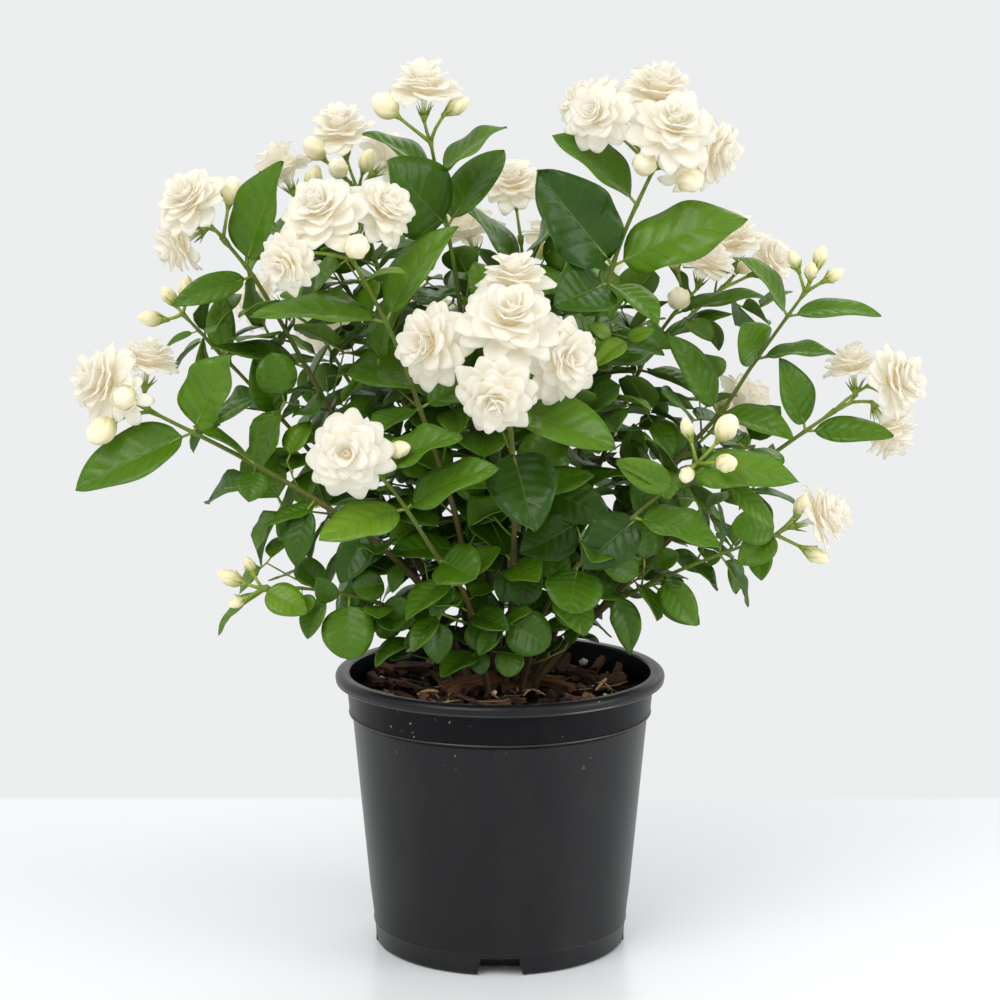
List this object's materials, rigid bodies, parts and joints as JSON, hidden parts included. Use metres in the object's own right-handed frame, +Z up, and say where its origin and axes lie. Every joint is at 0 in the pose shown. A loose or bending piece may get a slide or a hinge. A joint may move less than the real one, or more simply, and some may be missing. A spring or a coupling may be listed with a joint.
{
  "type": "potted arabian jasmine",
  "caption": "Bushy Arabian jasmine with double cream-white blooms, buds and glossy leaves, in a black round nursery pot of potting mix.",
  "frame": {"origin": "middle of the pot's underside, where the plant stands", "axes": "+Z up along the pot's axis; the plant's best side looks along -Y, with +X to the right of it"},
  "size_m": [0.4319, 0.2764, 0.4538],
  "materials": {
    "pot": "satin black",
    "soil": "moist bark potting mix",
    "foliage": "glossy green leaves on brown-green canes",
    "petals": "soft cream white"
  },
  "bodies": {
    "root": {"pot": "pot", "soil": "soil", "stem_back_center": "foliage", "stem_back_left": "foliage", "stem_center": "foliage", "stem_crown": "foliage", "stem_front": "foliage", "stem_left_buds": "foliage", "stem_left_high": "foliage", "stem_left_middle": "foliage", "stem_low_left": "foliage", "stem_rear_left": "foliage", "stem_rear_middle": "foliage", "stem_rear_right": "foliage", "stem_right_back": "foliage", "stem_right_front": "foliage", "stem_right_high": "foliage", "stem_right_low": "foliage", "stem_top": "foliage", "stem_upper_left": "foliage", "bloom_01": "petals", "bloom_02": "petals", "bloom_03": "petals", "bloom_04": "petals", "bloom_05": "petals", "bloom_06": "petals", "bloom_07": "petals", "bloom_08": "petals", "bloom_09": "petals", "bloom_10": "petals", "bloom_11": "petals", "bloom_12": "petals", "bloom_13": "petals", "bloom_14": "petals", "bloom_15": "petals", "bloom_16": "petals", "bloom_17": "petals", "bloom_18": "petals", "bloom_19": "petals", "bloom_20": "petals", "bloom_21": "petals", "bloom_22": "petals", "bloom_23": "petals", "bloom_24": "petals", "bloom_25": "petals", "bloom_26": "petals", "bloom_27": "petals", "bloom_28": "petals", "bloom_29": "petals", "bloom_30": "petals", "bloom_31": "petals", "bloom_32": "petals", "bloom_33": "petals", "bloom_34": "petals", "bloom_35": "petals", "bloom_36": "petals", "bloom_37": "petals", "bloom_38": "petals"}
  },
  "joints": []
}
